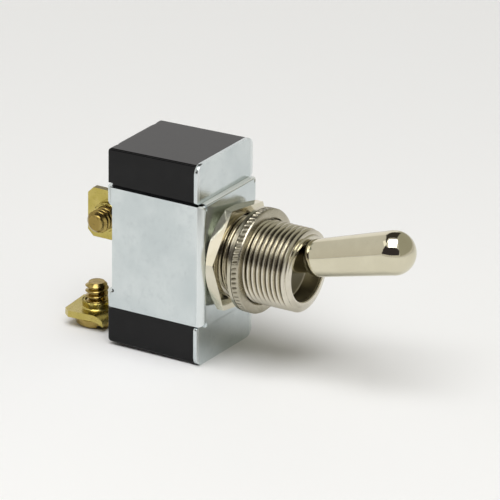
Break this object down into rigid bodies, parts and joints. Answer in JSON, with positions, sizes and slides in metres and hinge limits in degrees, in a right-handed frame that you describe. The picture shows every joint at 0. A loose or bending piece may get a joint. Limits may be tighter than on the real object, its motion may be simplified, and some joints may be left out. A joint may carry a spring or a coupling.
{
  "type": "panel toggle switch",
  "caption": "Bat-lever toggle switch for a panel hole: threaded bushing with nuts, folded steel frame round a moulded case, and screw terminals at the back.",
  "frame": {"origin": "lever pivot, on the bushing's axis, in the plane of the ring nut's front face", "axes": "+X forward along the bushing's axis, +Z along the case's long side with the lever raised at rest, +Y across the case"},
  "size_m": [0.0552, 0.0164, 0.03],
  "materials": {
    "zinc_steel": "bright zinc plate, slightly mottled",
    "phenolic": "glossy black moulding",
    "fibre": "matt hard fibre",
    "nickel": "bright nickel plate",
    "brass": "bare rolled brass",
    "brass_screw": "darker lacquered brass",
    "silver": "silver contact metal",
    "copper": "bare copper strip",
    "plunger_plastic": "moulded nylon",
    "spring_steel": "drawn wire"
  },
  "bodies": {
    "housing": {"frame": "zinc_steel", "case": "phenolic", "liner": "fibre", "bushing": "nickel", "lock_washer": "nickel", "fixed_contact": "silver", "contact_bracket": "brass", "fulcrum_bracket": "brass", "upper_terminal": "brass", "lower_terminal": "brass"},
    "lever_body": {"lever": "nickel", "pivot_pin": "spring_steel", "plunger_spring": "spring_steel"},
    "plunger_body": {"plunger": "plunger_plastic"},
    "rocker_body": {"rocker": "copper", "moving_contact": "silver"},
    "hex_nut_body": {"hex_nut": "nickel"},
    "ring_nut_body": {"ring_nut": "nickel"},
    "upper_screw_body": {"upper_screw": "brass_screw"},
    "lower_screw_body": {"lower_screw": "brass_screw"}
  },
  "joints": [
    {"name": "lever_tilt", "type": "hinge", "parent": "housing", "child": "lever_body", "pos_m": [0, 0, 0], "axis": [0, 1, 0], "range_deg": [0, 31]},
    {"name": "rocker_tilt", "type": "hinge", "parent": "housing", "child": "rocker_body", "pos_m": [-0.01605, 0, 0], "axis": [0, 1, 0], "range_deg": [-16, 0]},
    {"name": "plunger_slide", "type": "slide", "parent": "lever_body", "child": "plunger_body", "axis": [0.9636, 0, 0.2672], "range_m": [0, 0.0006], "stiffness_N_per_m": 200, "springref_m": -0.001, "deforming": ["plunger_spring"]},
    {"name": "hex_nut_turn", "type": "hinge", "parent": "housing", "child": "hex_nut_body", "pos_m": [-0.0048, 0, 0], "axis": [1, 0, 0], "continuous": true},
    {"name": "ring_nut_turn", "type": "hinge", "parent": "housing", "child": "ring_nut_body", "pos_m": [-0.00063, 0, 0], "axis": [1, 0, 0], "continuous": true},
    {"name": "upper_screw_turn", "type": "hinge", "parent": "housing", "child": "upper_screw_body", "pos_m": [-0.0256, 0, 0.00158], "axis": [0, 1, 0], "continuous": true},
    {"name": "lower_screw_turn", "type": "hinge", "parent": "housing", "child": "lower_screw_body", "pos_m": [-0.02768, -0.00051, -0.013], "axis": [0, 0, 1], "continuous": true}
  ],
  "couplings": [
    {"joint": "rocker_tilt", "follows": "lever_tilt", "ratio": -0.51613}
  ]
}
